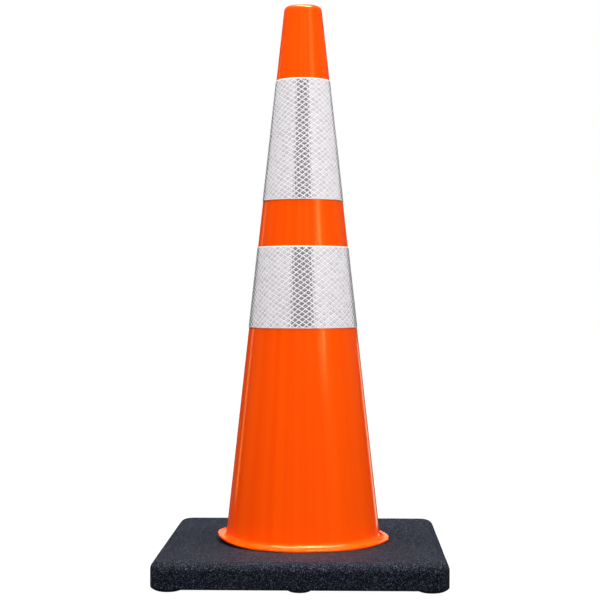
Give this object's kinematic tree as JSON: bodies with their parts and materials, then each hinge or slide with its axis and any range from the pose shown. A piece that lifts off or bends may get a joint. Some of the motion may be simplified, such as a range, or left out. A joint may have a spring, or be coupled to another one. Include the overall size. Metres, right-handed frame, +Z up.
{
  "type": "traffic cone",
  "caption": "Tall hollow traffic cone on a square weighted base with feet, with slip-on reflective collars.",
  "frame": {"origin": "on the ground, at the middle of the square base", "axes": "+Z up along the cone's axis; X and Y along the base's sides; the front is -Y, and the collars' lapped seams are at +Y"},
  "size_m": [0.35, 0.35, 0.7112],
  "materials": {
    "orange_pvc": "gloss",
    "black_base": "matte",
    "prismatic_sheeting": "gloss"
  },
  "bodies": {
    "cone_and_base": {"cone_body": "orange_pvc", "base": "black_base"},
    "upper_collar": {"upper_collar": "prismatic_sheeting"},
    "lower_collar": {"lower_collar": "prismatic_sheeting"}
  },
  "joints": [
    {"name": "upper_collar_slip_off", "type": "slide", "parent": "cone_and_base", "child": "upper_collar", "axis": [0, 0, 1], "range_m": [0, 0.25]},
    {"name": "lower_collar_slip_off", "type": "slide", "parent": "cone_and_base", "child": "lower_collar", "axis": [0, 0, 1], "range_m": [0, 0.41]}
  ]
}
